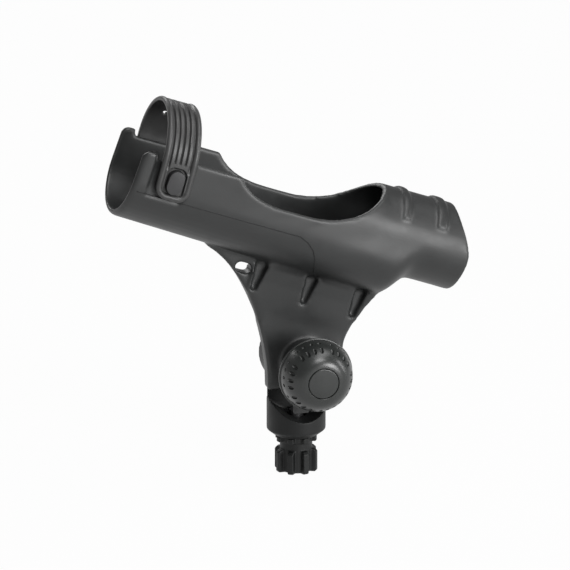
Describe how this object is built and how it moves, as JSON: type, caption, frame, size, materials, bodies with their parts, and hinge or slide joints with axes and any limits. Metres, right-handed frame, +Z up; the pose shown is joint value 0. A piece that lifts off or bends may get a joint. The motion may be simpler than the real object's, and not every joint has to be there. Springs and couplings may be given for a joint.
{
  "type": "fishing rod holder",
  "caption": "Open fishing rod cradle with a rubber strap, tilted on a toothed hub clamped by a round knob, on a splined mounting post.",
  "frame": {"origin": "centre of the spline's bottom face, on the post's axis", "axes": "+Z up along the post, +X towards the butt barrel, -Y towards the clamping knob"},
  "size_m": [0.2607, 0.1006, 0.2892],
  "materials": {
    "moulded_nylon": "satin black glass-filled nylon, fine moulded texture",
    "gloss_plastic": "smooth black moulded plastic, semi-gloss",
    "moulded_rubber": "matt black moulded rubber",
    "acetal": "smooth black acetal",
    "stainless_steel": "plain stainless steel",
    "sintered_steel": "grey sintered steel"
  },
  "bodies": {
    "base": {"base_housing": "moulded_nylon", "spline_post": "moulded_nylon", "post_screw": "stainless_steel", "post_washer": "stainless_steel", "tooth_ring": "sintered_steel", "release_spring": "stainless_steel", "clamp_nut": "stainless_steel", "ear_cap": "gloss_plastic"},
    "cradle": {"cradle": "moulded_nylon", "hub_bush": "acetal", "strap_button_near": "moulded_nylon", "strap_button_far": "moulded_nylon", "button_screw_near": "stainless_steel", "button_screw_far": "stainless_steel", "strap_anchor": "moulded_rubber"},
    "clutch": {"clutch_disc": "sintered_steel", "pressure_sleeve": "stainless_steel", "thrust_washer": "acetal"},
    "knob": {"knob_shell": "gloss_plastic", "knob_cap": "gloss_plastic", "knob_core": "moulded_nylon", "clamp_bolt": "stainless_steel"},
    "strap": {"strap_arch": "moulded_rubber"},
    "strap_tab": {"strap_tab": "moulded_rubber"}
  },
  "joints": [
    {"name": "cradle_tilt", "type": "hinge", "parent": "base", "child": "cradle", "pos_m": [0.004, 0, 0.084], "axis": [0, 1, 0], "range_deg": [-45, 60]},
    {"name": "clutch_slide", "type": "slide", "parent": "cradle", "child": "clutch", "axis": [0, -1, 0], "range_m": [-0.00112, 0.0015], "deforming": ["release_spring"]},
    {"name": "knob_turn", "type": "hinge", "parent": "clutch", "child": "knob", "pos_m": [0.004, 0, 0.084], "axis": [0, -1, 0], "range_deg": [-270, 360]},
    {"name": "strap_open", "type": "hinge", "parent": "cradle", "child": "strap", "pos_m": [-0.09839, 0.0373, 0.25003], "axis": [-0.9397, 0, 0.342], "range_deg": [0, 150], "stiffness_Nm_per_rad": 0.02, "deforming": ["strap_tab"]},
    {"name": "strap_unhook", "type": "hinge", "parent": "strap", "child": "strap_tab", "pos_m": [-0.09839, -0.0352, 0.25003], "axis": [-0.9397, 0, 0.342], "range_deg": [0, 40], "stiffness_Nm_per_rad": 0.01}
  ],
  "couplings": [
    {"joint": "knob_turn", "follows": "clutch_slide", "rad_per_m": 4188.8}
  ]
}
